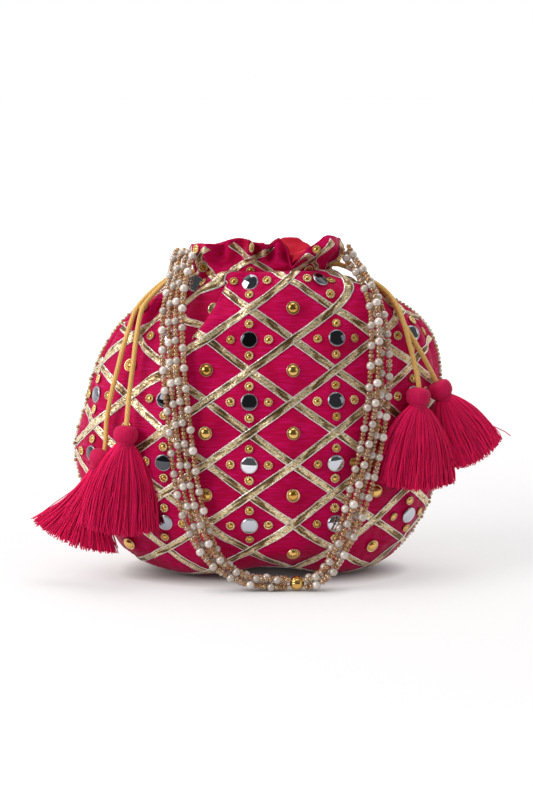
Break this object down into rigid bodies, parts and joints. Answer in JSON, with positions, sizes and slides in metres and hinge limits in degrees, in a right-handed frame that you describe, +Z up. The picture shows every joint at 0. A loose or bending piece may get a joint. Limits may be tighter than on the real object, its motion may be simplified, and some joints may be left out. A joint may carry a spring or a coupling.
{
  "type": "drawstring pouch",
  "caption": "Gathered silk drawstring pouch with a gold ribbon lattice, small mirrors, tasselled cords and a beaded swing handle",
  "frame": {"origin": "on the floor under the middle of the bag, between its two side seams and its front and back", "axes": "+X from the left side seam to the right one, +Y from the front to the back, +Z up from the flat base to the frill"},
  "size_m": [0.3079, 0.1236, 0.209],
  "materials": {
    "silk": "slubbed raw silk",
    "lining": "smooth red-pink lining",
    "gold": "crinkled metallic ribbon",
    "mirror": "polished glass mirror",
    "cord": "satin rattail cord",
    "thread": "silky cut thread",
    "pearl": "pearly beads"
  },
  "bodies": {
    "bag": {"back_mirror_01": "mirror", "back_mirror_02": "mirror", "back_mirror_03": "mirror", "back_mirror_04": "mirror", "back_mirror_05": "mirror", "back_mirror_06": "mirror", "back_mirror_07": "mirror", "back_mirror_08": "mirror", "back_mirror_09": "mirror", "back_mirror_10": "mirror", "back_mirror_11": "mirror", "back_mirror_12": "mirror", "back_mirror_13": "mirror", "back_mirror_14": "mirror", "back_mirror_15": "mirror", "back_mirror_16": "mirror", "back_mirror_17": "mirror", "back_panel": "silk", "back_ribbon_lattice": "gold", "front_mirror_01": "mirror", "front_mirror_02": "mirror", "front_mirror_03": "mirror", "front_mirror_04": "mirror", "front_mirror_05": "mirror", "front_mirror_06": "mirror", "front_mirror_07": "mirror", "front_mirror_08": "mirror", "front_mirror_09": "mirror", "front_mirror_10": "mirror", "front_mirror_11": "mirror", "front_mirror_12": "mirror", "front_mirror_13": "mirror", "front_mirror_14": "mirror", "front_mirror_15": "mirror", "front_mirror_16": "mirror", "front_mirror_17": "mirror", "front_panel": "silk", "front_ribbon_lattice": "gold", "left_back_tassel": "thread", "left_back_tassel_binding": "thread", "left_drawstring": "cord", "left_front_tassel": "thread", "left_front_tassel_binding": "thread", "lining": "lining", "right_back_tassel": "thread", "right_back_tassel_binding": "thread", "right_drawstring": "cord", "right_front_tassel": "thread", "right_front_tassel_binding": "thread", "seam_bead_trim": "gold"},
    "handle": {"handle_left_strand_1": "pearl", "handle_left_strand_2": "pearl", "handle_left_strand_3": "pearl", "handle_left_strand_4": "pearl", "handle_right_strand_1": "pearl", "handle_right_strand_2": "pearl", "handle_right_strand_3": "pearl", "handle_right_strand_4": "pearl", "handle_gold_bead": "gold"}
  },
  "joints": [
    {"name": "handle_swing", "type": "hinge", "parent": "bag", "child": "handle", "pos_m": [0.0055, -0.00525, 0.2045], "axis": [-0.9995, -0.0052, -0.0312], "range_deg": [0, 165]}
  ]
}
